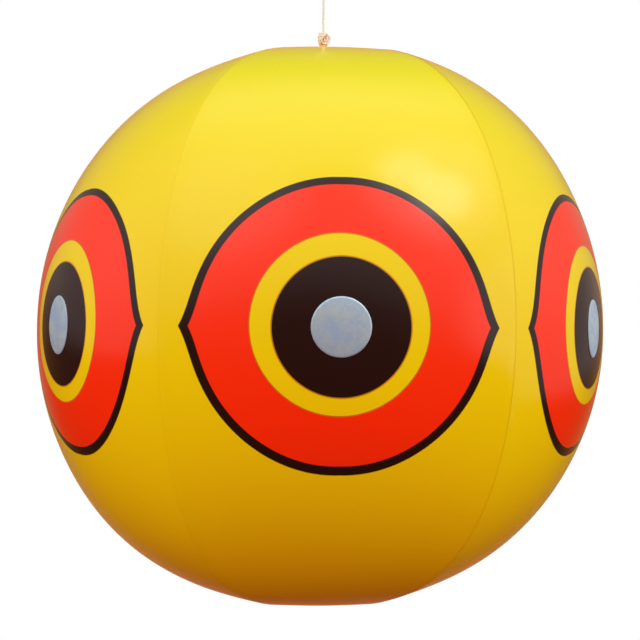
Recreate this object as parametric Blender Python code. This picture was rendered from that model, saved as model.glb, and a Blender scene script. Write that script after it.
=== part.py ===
"""Bird scare balloon, hung on its cord.

An inflated vinyl ball of six welded gores. Each gore carries one big printed eye, with a reflective
sticker as its pupil. A patch covers the gore tips at each pole: the top one carries the hanging tab and
its cord, and the bottom one the filling valve with its plug and check flap.

Metres, +Z up. The front eye looks along -Y. The origin is the inner top of the hanging loop, where a
hook, a nail or a branch holds the balloon. A level is a height above the ball's centre.
"""

import bisect
import math

import bmesh
import bpy

# Ball, at the middle of a gore
BALL_RADIUS = 0.2000
POLE_LEVEL = 0.1985
PROFILE_POWER = 2.144  # 2 is an ellipse, and more is squarer
SEAM_EQUATOR_SHARE = 1.028  # a seam's radius on the equator, over the gore's own
SEAM_POLE_SHARE = 1.092
SEAM_POWER = 2.4
GORES = 6

# Film, and the welds that join it
FILM = 0.0003
GAP = 0.0003
LAP_WIDTH = 0.0050
JOGGLE_WIDTH = 0.0020
TIP_RADIUS = 0.0200  # where the gores are cut off under the patches
PATCH_RADIUS = 0.0400

# Reflective pupil stickers
PUPIL_RADIUS = 0.0170
PUPIL_FILM = 0.0003

# Cord and its knots
CORD_RADIUS = 0.0010
CORD_LENGTH = 0.0350
NECK_LENGTH = 0.0010  # the cord narrows here, so that it can lean under the upper knot
NECK_SHARE = 0.35
KNOT_RADIUS = 0.0051
KNOT_END_RADIUS = 0.0026
KNOT_HEIGHT = 0.0090
KNOT_GROOVE = 0.0006
KNOT_WRAPS = 3
BIGHT_BEND = 0.0013  # radius of the cord's turns beside the tab
BIGHT_SINK = 0.0020  # how far the bight's ends run into the knot
LOOP_ROUTE = [
    (-0.0013, 0.0, 0.0),
    (-0.0015, 0.0, 0.0040),
    (-0.0046, 0.0, 0.0120),
    (-0.0080, 0.0, 0.0205),
    (-0.0078, 0.0, 0.0280),
    (-0.0042, 0.0, 0.0326),
    (0.0, 0.0, 0.0340),
    (0.0042, 0.0, 0.0326),
    (0.0078, 0.0, 0.0280),
    (0.0080, 0.0, 0.0205),
    (0.0046, 0.0, 0.0120),
    (0.0015, 0.0, 0.0040),
    (0.0013, 0.0, 0.0),
]

# Hanging tab: a round pad with an upright lug
PAD_RADIUS = 0.0130
PAD_THICKNESS = 0.0008
LUG_THICKNESS = 0.0020
LUG_ROUND = 0.0042  # radius of the lug's top, about its hole
LUG_FOOT = 0.0060  # half the lug's width at the pad
TAB_HOLE_RADIUS = 0.0019
TAB_HOLE_RISE = 0.0040  # from the pad up to the middle of the hole
SWING_CLEARANCE = 0.0005  # from the lug up to the knot

# Filling valve
FLANGE_RADIUS = 0.0150
FLANGE_THICKNESS = 0.0008
STEM_RADIUS = 0.0060
STEM_LENGTH = 0.0200
BORE_RADIUS = 0.00375
RIM_RADIUS = 0.0075
RIM_THICKNESS = 0.0012
PLUG_HEAD_RADIUS = 0.0055
PLUG_HEAD_THICKNESS = 0.0015
SHANK_LENGTH = 0.0070
SHANK_TAPER = 0.0002
FLAP_RADIUS = 0.0050
FLAP_THICKNESS = 0.0006
STRAP_WIDTH = 0.0030
STRAP_THICKNESS = 0.0006
STRAP_REACH = 0.0050  # from the rim out to the strap's bend

# Fineness of the round shapes
GORE_ROWS = 26
GORE_STEPS = 6
ROUND_SEGMENTS = 32
SMALL_SEGMENTS = 20
CORD_SIDES = 12
BEND_STEPS = 4
KNOT_RINGS = 18
PUPIL_RINGS = 3
CURVE_STEPS = 24
CORD_STEP = 5 * CORD_RADIUS
SHARP_ANGLE = math.radians(35)

# Angles and levels that follow from the sizes
GORE_TURN = math.tau / GORES
HALF_GORE = math.pi / GORES
WELD_DEPTH = FILM + GAP


def angle_at_radius(radius):
    """Profile angle of the upper half at a radius from the axis."""
    return math.acos((radius / BALL_RADIUS) ** (PROFILE_POWER / 2))


def angle_at_level(level):
    """Profile angle at a height above the ball's centre."""
    share = (abs(level) / POLE_LEVEL) ** (PROFILE_POWER / 2)
    return math.copysign(math.asin(share), level)


def meridian(angle):
    """Radius and level of the film along the middle of a gore."""
    power = 2 / PROFILE_POWER
    radius = BALL_RADIUS * math.cos(angle) ** power
    level = math.copysign(POLE_LEVEL * abs(math.sin(angle)) ** power, angle)
    return radius, level


TIP_ANGLE = angle_at_radius(TIP_RADIUS)
PATCH_ANGLE = angle_at_radius(PATCH_RADIUS)
TIP_LEVEL = meridian(TIP_ANGLE)[1]
PATCH_FACE = TIP_LEVEL + GAP + FILM  # outer face of a patch, at both poles
PAD_BASE = PATCH_FACE + GAP
PAD_FACE = PAD_BASE + PAD_THICKNESS
TAB_HOLE_LEVEL = PAD_FACE + TAB_HOLE_RISE
SWING_LEVEL = TAB_HOLE_LEVEL + TAB_HOLE_RADIUS - GAP - CORD_RADIUS  # the cord, high in the hole
KNOT_BASE = TAB_HOLE_LEVEL + LUG_ROUND + SWING_CLEARANCE
CORD_BASE = KNOT_BASE + KNOT_HEIGHT + GAP
CORD_TOP = CORD_BASE + CORD_LENGTH
TOP_KNOT_BASE = CORD_TOP + GAP
LOOP_BASE = TOP_KNOT_BASE + KNOT_HEIGHT + GAP
HOOK_LEVEL = LOOP_BASE + max(z for _, _, z in LOOP_ROUTE) - CORD_RADIUS
RIM_LEVEL = -PATCH_FACE - GAP  # the rim's upper face
PLUG_LEVEL = RIM_LEVEL - RIM_THICKNESS - GAP  # the plug head's upper face
STEM_TOP = RIM_LEVEL + STEM_LENGTH


def section_share(turn):
    """How far the straight side of a hexagon stands off its inner circle: 0 mid-gore, 1 on a seam."""
    off = (turn + HALF_GORE) % GORE_TURN - HALF_GORE
    side = math.cos(HALF_GORE)
    return (side / math.cos(off) - side) / (1 - side)


def skin(angle, turn, lift=0.0):
    """A point of the ball.

    The profile angle goes from pole to pole, the turn goes round from the front eye towards +X, and the
    lift is measured out of the film's outer face.
    """
    radius, level = meridian(angle)
    out = (radius / BALL_RADIUS) ** (PROFILE_POWER - 1) / BALL_RADIUS
    up = math.copysign((abs(level) / POLE_LEVEL) ** (PROFILE_POWER - 1) / POLE_LEVEL, level)
    steep = math.hypot(out, up)
    swell = (abs(level) / POLE_LEVEL) ** SEAM_POWER
    ridge = SEAM_EQUATOR_SHARE + (SEAM_POLE_SHARE - SEAM_EQUATOR_SHARE) * swell
    radius *= 1 + (ridge - 1) * section_share(turn)
    radius += lift * out / steep
    return radius * math.sin(turn), -radius * math.cos(turn), level + lift * up / steep


def gore_turns(angle):
    """Turns of a gore's columns from its first seam, at one latitude, up to the start of its joggle."""
    radius = meridian(angle)[0]
    lap = LAP_WIDTH / radius
    last = GORE_TURN - JOGGLE_WIDTH / radius
    return [0.0] + [lap + (last - lap) * i / GORE_STEPS for i in range(GORE_STEPS + 1)]


def gore_row(angle, first_seam, lift):
    """One row of a gore: level film, then the joggle down under the next gore's edge, and the lap."""
    turns = gore_turns(angle)
    row = [skin(angle, first_seam + turn, lift) for turn in turns]
    under = (GORE_TURN, GORE_TURN + turns[1])
    return row + [skin(angle, first_seam + turn, lift - WELD_DEPTH) for turn in under]


def ball_ring(angle, lift):
    """A ring right round the ball, with a point on every column of every gore."""
    seams = [index * GORE_TURN - HALF_GORE for index in range(GORES)]
    return [skin(angle, seam + turn, lift) for seam in seams for turn in gore_turns(angle)]


def bridge(bm, ring, other):
    """Faces between two closed rings of vertices, or between a ring and a single vertex."""
    count = max(len(ring), len(other))
    for i in range(count):
        j = (i + 1) % count
        corners = (ring[i % len(ring)], ring[j % len(ring)], other[j % len(other)], other[i % len(other)])
        bm.faces.new(dict.fromkeys(corners))


def loft(rings):
    """A solid through rings of points: from point to point, or round a bore and back to its start."""
    bm = bmesh.new()
    made = [[bm.verts.new(point) for point in ring] for ring in rings]
    for ring, other in zip(made, made[1:]):
        bridge(bm, ring, other)
    if len(made[0]) > 1:
        bridge(bm, made[-1], made[0])
    return bm


def circle(radius, level, segments):
    """A ring of points about Z, or one point on the axis."""
    if radius == 0:
        return [(0.0, 0.0, level)]
    turns = [math.tau * i / segments for i in range(segments)]
    return [(radius * math.cos(turn), radius * math.sin(turn), level) for turn in turns]


def turned(outline, segments):
    """A solid turned about Z from its outline of radii and levels."""
    return loft([circle(radius, level, segments) for radius, level in outline])


def sheet(outer, inner):
    """A closed sheet between two grids of points."""
    bm = bmesh.new()
    grids = [[[bm.verts.new(point) for point in row] for row in rows] for rows in (outer, inner)]
    edges = []
    for grid in grids:
        for row, upper in zip(grid, grid[1:]):
            for corners in zip(row, row[1:], upper[1:], upper):
                bm.faces.new(corners)
        right = [row[-1] for row in grid[1:-1]]
        left = [row[0] for row in grid[1:-1]]
        edges.append(grid[0] + right + grid[-1][::-1] + left[::-1])
    bridge(bm, *edges)
    return bm


def tube(route, radius, sides):
    """A round solid along points in the XZ plane, flat at both ends."""
    rings = [[route[0]]]
    for i, (x, y, z) in enumerate(route):
        before, after = route[max(i - 1, 0)], route[min(i + 1, len(route) - 1)]
        run = math.hypot(after[0] - before[0], after[2] - before[2])
        side = ((after[2] - before[2]) / run, (before[0] - after[0]) / run)
        turns = [math.tau * step / sides for step in range(sides)]
        rings.append(
            [
                (
                    x + radius * math.cos(turn) * side[0],
                    y + radius * math.sin(turn),
                    z + radius * math.cos(turn) * side[1],
                )
                for turn in turns
            ]
        )
    return loft(rings + [[route[-1]]])


def make_material(name, colour, roughness, metallic=0.0):
    """A plain surface with a linear colour."""
    made = bpy.data.materials.new(name)
    made.use_nodes = True
    shader = made.node_tree.nodes["Principled BSDF"]
    shader.inputs["Base Color"].default_value = (*colour, 1.0)
    shader.inputs["Roughness"].default_value = roughness
    shader.inputs["Metallic"].default_value = metallic
    return made


def link(obj, parent, level=0.0):
    """Put an object in the scene at a level, under its parent."""
    bpy.context.scene.collection.objects.link(obj)
    obj["level"] = level
    obj.parent = parent
    obj.location.z = level - (parent["level"] if parent else HOOK_LEVEL)
    return obj


def add_pivot(name, parent, level):
    """An empty on a joint's axis."""
    return link(bpy.data.objects.new(name, None), parent, level)


def add_solid(name, bm, surface, parent):
    """A named piece from a bmesh whose heights are levels, shaded smooth where it is round."""
    bmesh.ops.recalc_face_normals(bm, faces=bm.faces)
    mesh = bpy.data.meshes.new(name)
    bm.to_mesh(mesh)
    bm.free()
    mesh.shade_smooth()
    mesh.set_sharp_from_angle(angle=SHARP_ANGLE)
    mesh.materials.append(surface)
    return link(bpy.data.objects.new(name, mesh), parent)


def add_boolean(obj, tool, operation):
    """Join a helper solid to a piece, or cut it out, and keep the helper out of the model."""
    tool.hide_render = True
    tool.display_type = "WIRE"
    modifier = obj.modifiers.new(tool.name, "BOOLEAN")
    modifier.operation = operation
    modifier.object = tool
    modifier.solver = "EXACT"


def smooth_route(route, step):
    """Even points along a Catmull-Rom curve through a cord's hand-chosen route."""
    padded = [route[0]] + route + [route[-1]]
    fine = []
    for a, b, c, d in zip(padded, padded[1:], padded[2:], padded[3:]):
        for i in range(CURVE_STEPS):
            t = i / CURVE_STEPS
            weights = (
                (-t + 2 * t**2 - t**3) / 2,
                (2 - 5 * t**2 + 3 * t**3) / 2,
                (t + 4 * t**2 - 3 * t**3) / 2,
                (t**3 - t**2) / 2,
            )
            fine.append(tuple(sum(w * p[k] for w, p in zip(weights, (a, b, c, d))) for k in range(3)))
    fine.append(route[-1])
    along = [0.0]
    for start, end in zip(fine, fine[1:]):
        along.append(along[-1] + math.dist(start, end))
    count = 2 * round(along[-1] / step / 2)
    points = []
    for i in range(count + 1):
        target = along[-1] * i / count
        j = bisect.bisect_left(along, target, 1, len(along) - 1)
        share = (target - along[j - 1]) / (along[j] - along[j - 1])
        points.append(tuple(s + (e - s) * share for s, e in zip(fine[j - 1], fine[j])))
    return points


def add_cord(name, points, surface, parent, level=0.0):
    """A round cord along its points, filled at both ends."""
    curve = bpy.data.curves.new(name, "CURVE")
    curve.dimensions = "3D"
    curve.bevel_depth = CORD_RADIUS
    curve.bevel_resolution = 2
    curve.use_fill_caps = True
    curve.materials.append(surface)
    spline = curve.splines.new("POLY")
    spline.points.add(len(points) - 1)
    for made, point in zip(spline.points, points):
        made.co = (*point, 1.0)
    spline.use_smooth = True
    obj = bpy.data.objects.new(name, curve)
    link(obj, parent, level)
    return obj


def add_gores(parent):
    """The six gores. Each one's edge lies over the last one's lap."""
    inner_rows = [PATCH_ANGLE * (2 * i / GORE_ROWS - 1) for i in range(GORE_ROWS + 1)]
    angles = [-TIP_ANGLE, *inner_rows, TIP_ANGLE]
    vinyl = make_material("yellow_vinyl", (0.87, 0.62, 0.02), 0.25)
    for index in range(GORES):
        first_seam = index * GORE_TURN - HALF_GORE
        outer = [gore_row(angle, first_seam, 0.0) for angle in angles]
        inner = [gore_row(angle, first_seam, -FILM) for angle in angles]
        add_solid(f"gore_{index + 1}", sheet(outer, inner), vinyl, parent)


def pupil_rings(turn, lift):
    """Rings of a sticker's face, from its centre out, on the middle of a gore."""
    rings = [[skin(0.0, turn, lift)]]
    for step in range(1, PUPIL_RINGS + 1):
        reach = PUPIL_RADIUS * step / PUPIL_RINGS
        flat = circle(reach, 0.0, SMALL_SEGMENTS)
        rings.append([skin(angle_at_level(up), turn + side / BALL_RADIUS, lift) for side, up, _ in flat])
    return rings


def add_pupils(parent):
    """A round reflective sticker in the middle of every eye."""
    foil = make_material("silver_foil", (0.52, 0.57, 0.66), 0.2, metallic=0.9)
    for index in range(GORES):
        turn = index * GORE_TURN
        rings = pupil_rings(turn, GAP + PUPIL_FILM) + pupil_rings(turn, GAP)[::-1]
        add_solid(f"pupil_sticker_{index + 1}", loft(rings), foil, parent)


def add_patches(parent):
    """Film over the gore tips: whole at the top, and open inside its weld to the valve's flange below."""
    patch = make_material("patch_vinyl", (0.84, 0.58, 0.02), 0.28)
    for name, pole, hole in (("top_patch", 1, 0.0), ("bottom_patch", -1, FLANGE_RADIUS - LAP_WIDTH)):
        rings = []
        for lift, order in ((GAP + FILM, 1), (GAP, -1)):
            edge = ball_ring(pole * PATCH_ANGLE, lift)
            tip = ball_ring(pole * TIP_ANGLE, lift)
            level = tip[0][2]
            middle = [(hole * x / math.hypot(x, y), hole * y / math.hypot(x, y), level) for x, y, _ in tip]
            if hole == 0:
                middle = [(0.0, 0.0, level)]
            rings += [middle, tip, edge][::order]
        add_solid(name, loft(rings), patch, parent)


def add_hang_tab(parent):
    """The tab that the cord goes through: a pad welded to the top patch, and its upright lug."""
    vinyl = make_material("tab_vinyl", (0.80, 0.50, 0.12), 0.3)
    pad = [(0.0, PAD_BASE), (PAD_RADIUS, PAD_BASE), (PAD_RADIUS, PAD_FACE), (0.0, PAD_FACE)]
    tab = add_solid("hang_tab", turned(pad, ROUND_SEGMENTS), vinyl, parent)
    root = PAD_BASE + PAD_THICKNESS / 2
    outline = [(-LUG_FOOT, root), (LUG_FOOT, root)]
    for step in range(SMALL_SEGMENTS + 1):
        turn = math.pi * step / SMALL_SEGMENTS
        outline.append((LUG_ROUND * math.cos(turn), TAB_HOLE_LEVEL + LUG_ROUND * math.sin(turn)))
    lug = prism(outline, LUG_THICKNESS)
    add_boolean(tab, add_solid("lug_blank", lug, vinyl, parent), "UNION")
    hole = prism(
        [(y, TAB_HOLE_LEVEL + z) for y, z, _ in circle(TAB_HOLE_RADIUS, 0.0, SMALL_SEGMENTS)],
        2 * LUG_THICKNESS,
    )
    add_boolean(tab, add_solid("lug_hole", hole, vinyl, parent), "DIFFERENCE")


def prism(outline, width):
    """A plate across X from an outline in Y and level."""
    bm = bmesh.new()
    faces = [[bm.verts.new((x, y, level)) for y, level in outline] for x in (-width / 2, width / 2)]
    bridge(bm, *faces)
    for corners in faces:
        bm.faces.new(corners)
    return bm


def knot_outline(base):
    """A barrel knot from its foot to its head, with a groove between one wrap and the next."""
    outline = [(0.0, base)]
    for i in range(KNOT_RINGS + 1):
        share = i / KNOT_RINGS
        barrel = math.sqrt(1 - (2 * share - 1) ** 2)
        groove = KNOT_GROOVE * math.cos(math.pi * KNOT_WRAPS * share) ** 2
        radius = KNOT_END_RADIUS + (KNOT_RADIUS - KNOT_END_RADIUS - groove) * barrel
        outline.append((radius, base + KNOT_HEIGHT * share))
    return outline + [(0.0, base + KNOT_HEIGHT)]


def bight_route():
    """The cord's way down out of the knot, through the tab's hole and up again."""
    leg = LUG_THICKNESS / 2 + GAP + CORD_RADIUS
    half = []
    for step in range(BEND_STEPS + 1):
        turn = math.pi / 2 * step / BEND_STEPS
        x = leg - BIGHT_BEND + BIGHT_BEND * math.sin(turn)
        half.append((x, 0.0, SWING_LEVEL + BIGHT_BEND - BIGHT_BEND * math.cos(turn)))
    half.append((leg, 0.0, KNOT_BASE + BIGHT_SINK))
    return [(-x, y, z) for x, y, z in half[::-1]] + half


def add_line(anchor, cord_pivot, spin_pivot, cord):
    """Everything of the cord: loop and upper knot, straight length, and lower knot with its bight."""
    loop = smooth_route(LOOP_ROUTE, CORD_STEP)
    add_cord("hang_loop", loop, cord, anchor, LOOP_BASE)
    add_solid("top_knot", turned(knot_outline(TOP_KNOT_BASE), SMALL_SEGMENTS), cord, anchor)
    straight = [(0.0, 0.0, CORD_BASE), (0.0, 0.0, CORD_TOP - NECK_LENGTH)]
    points = smooth_route(straight, CORD_STEP) + [(0.0, 0.0, CORD_TOP)]
    line = add_cord("hang_cord", points, cord, cord_pivot)
    line.data.splines[0].points[-1].radius = NECK_SHARE
    knot = add_solid("tab_knot", turned(knot_outline(KNOT_BASE), SMALL_SEGMENTS), cord, spin_pivot)
    bight = add_solid("bight", tube(bight_route(), CORD_RADIUS, CORD_SIDES), cord, spin_pivot)
    add_boolean(knot, bight, "UNION")


def add_valve(balloon, stem_pivot, plug_pivot, flap_pivot):
    """The filling valve: flange inside the patch, sliding stem, plug on its strap, and check flap."""
    soft = make_material("valve_vinyl", (0.80, 0.76, 0.66), 0.35)
    base = -TIP_LEVEL
    top = base + FLANGE_THICKNESS
    inside = STEM_RADIUS + GAP
    flange = [(inside, base), (FLANGE_RADIUS, base), (FLANGE_RADIUS, top), (inside, top)]
    add_solid("valve_flange", turned(flange, ROUND_SEGMENTS), soft, balloon)
    foot = RIM_LEVEL - RIM_THICKNESS
    stem = [
        (BORE_RADIUS, foot),
        (RIM_RADIUS, foot),
        (RIM_RADIUS, RIM_LEVEL),
        (STEM_RADIUS, RIM_LEVEL),
        (STEM_RADIUS, STEM_TOP),
        (BORE_RADIUS, STEM_TOP),
    ]
    add_solid("valve_stem", turned(stem, ROUND_SEGMENTS), soft, stem_pivot)
    shank = BORE_RADIUS - GAP
    plug = [
        (0.0, PLUG_LEVEL - PLUG_HEAD_THICKNESS),
        (PLUG_HEAD_RADIUS, PLUG_LEVEL - PLUG_HEAD_THICKNESS),
        (PLUG_HEAD_RADIUS, PLUG_LEVEL),
        (shank, PLUG_LEVEL),
        (shank - SHANK_TAPER, PLUG_LEVEL + SHANK_LENGTH),
        (0.0, PLUG_LEVEL + SHANK_LENGTH),
    ]
    add_solid("valve_plug", turned(plug, ROUND_SEGMENTS), soft, plug_pivot)
    low = STEM_TOP + GAP
    flap = [(0.0, low), (FLAP_RADIUS, low), (FLAP_RADIUS, low + FLAP_THICKNESS), (0.0, low + FLAP_THICKNESS)]
    disc = add_solid("check_flap", turned(flap, ROUND_SEGMENTS), soft, flap_pivot)
    disc.location.y = -flap_pivot.location.y
    add_solid("plug_strap", strap(), soft, stem_pivot)


def strap_path():
    """Middle line of the folded strap, and the way out of its bend: from the rim to the plug's head."""
    start = RIM_LEVEL - RIM_THICKNESS / 2
    end = PLUG_LEVEL - PLUG_HEAD_THICKNESS / 2
    bend = (start - end) / 2
    path = [(RIM_RADIUS + GAP, start, 0.0, 1.0)]
    for step in range(2 * BEND_STEPS + 1):
        turn = math.pi * step / (2 * BEND_STEPS)
        out, up = math.sin(turn), math.cos(turn)
        path.append((RIM_RADIUS + STRAP_REACH + bend * out, (start + end) / 2 + bend * up, out, up))
    return path + [(PLUG_HEAD_RADIUS + GAP, end, 0.0, -1.0)]


def strap():
    """The thin strap that keeps the plug from getting lost, folded in two beside the valve."""
    faces = []
    for lift in (STRAP_THICKNESS / 2, -STRAP_THICKNESS / 2):
        side = [(x + lift * out, z + lift * up) for x, z, out, up in strap_path()]
        faces.append([[(x, y, z) for x, z in side] for y in (-STRAP_WIDTH / 2, STRAP_WIDTH / 2)])
    return sheet(*faces)


def clear_scene():
    """Remove what the file holds."""
    for obj in list(bpy.data.objects):
        bpy.data.objects.remove(obj, do_unlink=True)


def main():
    """Build every piece under the pivots of its joints."""
    clear_scene()
    cord = make_material("white_cord", (0.72, 0.69, 0.65), 0.8)
    anchor = add_pivot("hook", None, HOOK_LEVEL)
    cord_pivot = add_pivot("cord_swing_pivot", anchor, CORD_TOP)
    spin_pivot = add_pivot("spin_pivot", cord_pivot, CORD_BASE)
    balloon = add_pivot("balloon_swing_pivot", spin_pivot, SWING_LEVEL)
    stem_pivot = add_pivot("valve_pivot", balloon, RIM_LEVEL)
    plug_pivot = add_pivot("plug_pivot", stem_pivot, PLUG_LEVEL)
    flap_pivot = add_pivot("flap_pivot", stem_pivot, STEM_TOP + GAP)
    flap_pivot.location.y = FLAP_RADIUS
    add_line(anchor, cord_pivot, spin_pivot, cord)
    add_gores(balloon)
    add_pupils(balloon)
    add_patches(balloon)
    add_hang_tab(balloon)
    add_valve(balloon, stem_pivot, plug_pivot, flap_pivot)


main()
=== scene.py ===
"""Bird scare balloon hung on its cord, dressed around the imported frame.

Six gores of printed film make the ball. Each one carries a big eye with a foil pupil. Metres, Z up, and the
front eye looks along -Y. A level is a height above the middle of the ball.
"""

import logging
import math
from dataclasses import dataclass, fields
from enum import Enum
from types import SimpleNamespace
from typing import Callable, Iterable, Mapping, Sequence, Union

import bmesh
import bpy
from mathutils import Matrix, Vector


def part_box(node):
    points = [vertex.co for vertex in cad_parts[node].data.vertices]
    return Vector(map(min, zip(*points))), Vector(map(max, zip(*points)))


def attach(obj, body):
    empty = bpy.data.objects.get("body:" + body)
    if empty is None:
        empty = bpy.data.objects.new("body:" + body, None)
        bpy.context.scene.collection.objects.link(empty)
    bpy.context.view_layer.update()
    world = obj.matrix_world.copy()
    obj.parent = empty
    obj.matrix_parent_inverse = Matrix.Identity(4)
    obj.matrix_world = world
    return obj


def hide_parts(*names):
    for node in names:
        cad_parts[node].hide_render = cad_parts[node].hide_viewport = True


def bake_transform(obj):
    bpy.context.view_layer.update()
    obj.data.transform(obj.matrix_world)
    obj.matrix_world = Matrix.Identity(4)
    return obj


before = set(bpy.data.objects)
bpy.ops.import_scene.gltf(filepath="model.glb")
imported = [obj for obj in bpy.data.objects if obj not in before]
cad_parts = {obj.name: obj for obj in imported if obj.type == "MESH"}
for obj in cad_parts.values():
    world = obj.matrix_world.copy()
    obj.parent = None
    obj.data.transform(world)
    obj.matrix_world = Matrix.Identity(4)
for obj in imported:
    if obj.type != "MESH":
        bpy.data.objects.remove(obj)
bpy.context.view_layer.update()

log = logging.getLogger("balloon")
Colour = tuple[float, float, float]
Pair = tuple[float, float]
Triple = tuple[float, float, float]
Profile = list[Pair]
Operand = Union["Number", float]
BMesh = bmesh.types.BMesh
Material = bpy.types.Material
Node = bpy.types.Node
Piece = bpy.types.Object
Socket = bpy.types.NodeSocket

PRINT_MAP = "print_map"
WELD_MAP = "weld_map"
FIBRE_MAP = "fibre_map"

TINY = 1e-6
ON_AXIS = 1e-9
SAME_POINT = 1e-7
SIDE_SHARE = 0.49
STRAND_WELD = 1e-6
SHEET_WELD = 2e-6


# Node trees


def operator(operation: str, swapped: bool = False) -> Callable[["Number", Operand], "Number"]:
    """A Python operator that adds one Math node.

    Args:
        operation: the node's operation.
        swapped: whether the other operand comes first.

    Returns:
        The operator.
    """

    def apply(number: "Number", other: Operand) -> "Number":
        """Adds the node."""
        return number.graph.math(operation, *((other, number) if swapped else (number, other)))

    return apply


class Number:
    """A number socket of a node tree that takes part in Python expressions."""

    __add__ = __radd__ = operator("ADD")
    __mul__ = __rmul__ = operator("MULTIPLY")
    __sub__ = operator("SUBTRACT")
    __rsub__ = operator("SUBTRACT", swapped=True)
    __truediv__ = operator("DIVIDE")
    __rtruediv__ = operator("DIVIDE", swapped=True)
    __pow__ = operator("POWER")

    def __init__(self, graph: "Graph", socket: Socket) -> None:
        """Wraps a socket of a graph."""
        self.graph = graph
        self.socket = socket

    def __neg__(self) -> "Number":
        """Negative."""
        return self * -1.0

    def __abs__(self) -> "Number":
        """Size without its sign."""
        return self.function("ABSOLUTE")

    def function(self, operation: str, *others: Operand) -> "Number":
        """Any other function of a Math node, such as SINE or EXPONENT."""
        return self.graph.math(operation, self, *others)

    def clamped(self) -> "Number":
        """The number kept from 0 to 1."""
        return self.function("MAXIMUM", 0.0).function("MINIMUM", 1.0)

    def share(self, low: float, high: float) -> "Number":
        """Straight from 0 at a low value to 1 at a high one."""
        return ((self - low) / (high - low)).clamped()

    def rise(self, low: Operand, high: Operand) -> "Number":
        """A smooth step from 0 at a low value to 1 at a high one."""
        inputs = {"Value": self, "From Min": low, "From Max": high}
        return self.graph.number("ShaderNodeMapRange", inputs, interpolation_type="SMOOTHSTEP")


class Graph:
    """A node tree, with one way to add any node to it."""

    def __init__(self, tree: bpy.types.NodeTree) -> None:
        """Takes the tree over and empties it."""
        self.tree = tree
        tree.nodes.clear()

    def node(self, kind: str, inputs: Mapping | None = None, **settings: object) -> Node:
        """Adds a node.

        Args:
            kind: its type.
            inputs: what each socket takes, by name or index: a value, or what links to it.
            settings: its own options, which are set first.

        Returns:
            The node.
        """
        made = self.tree.nodes.new(kind)
        for name, value in settings.items():
            setattr(made, name, value)
        for key, value in (inputs or {}).items():
            self.feed(made.inputs[key], value)
        return made

    def feed(self, socket: Socket, value: object) -> None:
        """Links a socket, or sets its value.

        Args:
            socket: the input to feed.
            value: a plain value, or a number, node or output that links to it.
        """
        if isinstance(value, Number):
            value = value.socket
        if isinstance(value, Node):
            value = value.outputs[0]
        if isinstance(value, Socket):
            self.tree.links.new(value, socket)
        elif socket.type == "RGBA":
            socket.default_value = (*value, 1.0)
        else:
            socket.default_value = value

    def number(self, kind: str, inputs: Mapping, **settings: object) -> Number:
        """Adds a node and takes its first output as a number."""
        return Number(self, self.node(kind, inputs, **settings).outputs[0])

    def math(self, operation: str, *operands: Operand) -> Number:
        """One Math node on numbers and sockets."""
        return self.number("ShaderNodeMath", dict(enumerate(operands)), operation=operation)

    def vector_math(self, operation: str, inputs: Mapping) -> Node:
        """One Vector Math node."""
        return self.node("ShaderNodeVectorMath", inputs, operation=operation)

    def parts(self, vector: object) -> list[Number]:
        """The three numbers in a vector."""
        made = self.node("ShaderNodeSeparateXYZ", {0: vector})
        return [Number(self, socket) for socket in made.outputs]

    def vector(self, *numbers: Operand) -> Socket:
        """A vector of up to three numbers."""
        return self.node("ShaderNodeCombineXYZ", dict(enumerate(numbers))).outputs[0]

    def mix(self, share: Operand, first: object, second: object) -> Socket:
        """A colour between two others, by the share of the second one."""
        return self.node("ShaderNodeMix", {0: share, 6: first, 7: second}, data_type="RGBA").outputs[2]

    def noise(self, place: object, scale: float, detail: float, seed: Operand) -> Number:
        """Noise around 0.5 at a place in metres: clouds in a metre, finer layers, and which noise."""
        inputs = {"Vector": place, "W": seed, "Scale": scale, "Detail": detail}
        return self.number("ShaderNodeTexNoise", inputs, noise_dimensions="4D")


@dataclass(frozen=True)
class Clouds:
    """Cloudy noise on a finish: clouds in a metre, finer layers, which noise, and how much it does."""

    scale: float
    detail: float
    seed: float
    height: float = 1.0


class FinishGraph(Graph):
    """The node tree of one finish."""

    def __init__(self, name: str) -> None:
        """Makes the material and empties its tree.

        Args:
            name: the material's name.
        """
        self.material = bpy.data.materials.new(name)
        self.material.use_nodes = True
        super().__init__(self.material.node_tree)

    def place(self) -> Socket:
        """Where the surface is on the piece, in metres."""
        return self.node("ShaderNodeTexCoord").outputs["Object"]

    def map(self, name: str) -> list[Number]:
        """The numbers of a map that the mesh carries."""
        return self.parts(self.node("ShaderNodeUVMap", uv_map=name))

    def clouds(self, kind: Clouds) -> Number:
        """The noise that such clouds make on the piece."""
        return self.noise(self.place(), kind.scale, kind.detail, kind.seed)

    def relief(self, height: Number) -> Socket:
        """A normal from a height in metres."""
        return self.node("ShaderNodeBump", {"Distance": 1.0, "Height": height}).outputs[0]

    def shell(self, **inputs: object) -> Node:
        """A Principled shader, whose inputs are written with _ for a space."""
        spaced = {name.replace("_", " "): value for name, value in inputs.items()}
        return self.node("ShaderNodeBsdfPrincipled", spaced)

    def mixed(self, share: Operand, first: object, second: object) -> Node:
        """A shader between two others, by the share of the second one."""
        return self.node("ShaderNodeMixShader", {0: share, 1: first, 2: second})

    def finish(self, shader: object) -> Material:
        """Ends the tree with its shader and hands the material over."""
        self.node("ShaderNodeOutputMaterial", {"Surface": shader})
        return self.material


# Finishes


class Ink(Enum):
    """What a film carries."""

    EYE = "eye"
    PLAIN = "plain"


@dataclass(frozen=True)
class Finish:
    """A finish that a piece wears."""

    def shader(self, graph: FinishGraph) -> Node:
        """The shader that ends its tree."""
        raise NotImplementedError

    def make(self, name: str) -> Material:
        """Builds the finish under a name."""
        graph = FinishGraph(name)
        return graph.finish(self.shader(graph))


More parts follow.
